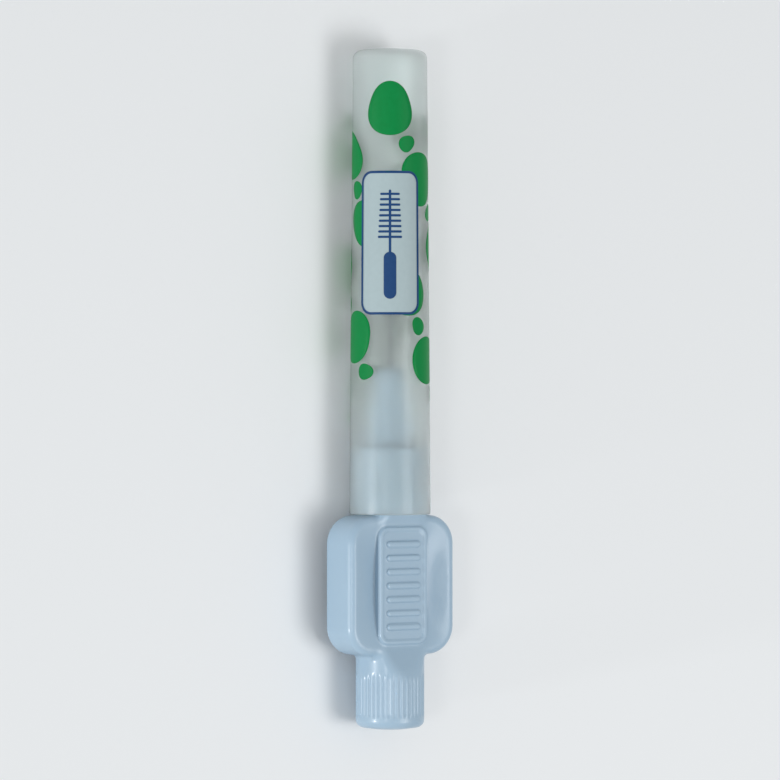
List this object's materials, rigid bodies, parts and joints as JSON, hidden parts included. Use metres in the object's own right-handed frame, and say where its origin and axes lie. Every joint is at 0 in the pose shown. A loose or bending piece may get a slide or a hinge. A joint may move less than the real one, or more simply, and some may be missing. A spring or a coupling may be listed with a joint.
{
  "type": "interdental brush",
  "caption": "Small interdental brush: a fluted handle with a dished thumb plate, a twisted wire head of fine filaments, and a long frosted push-on cap.",
  "frame": {"origin": "under the middle of the whole length with the cap on, on the surface that the brush lies on", "axes": "+Y along the brush from the rear end to the cap's closed end, +Z out of the thumb plate's front face, +X across the plate"},
  "size_m": [0.0134, 0.0712, 0.0085],
  "materials": {
    "handle_plastic": "satin",
    "coated_wire": "coated",
    "filaments": "translucent",
    "cap_plastic": "frosted",
    "green_ink": "printed",
    "blue_ink": "printed",
    "pale_ink": "printed"
  },
  "bodies": {
    "brush": {"handle": "handle_plastic", "twisted_wire": "coated_wire", "bristles": "filaments"},
    "cap": {"cap": "cap_plastic"}
  },
  "joints": [
    {"name": "cap_slide", "type": "slide", "parent": "brush", "child": "cap", "axis": [0, 1, 0], "range_m": [0, 0.032]}
  ]
}
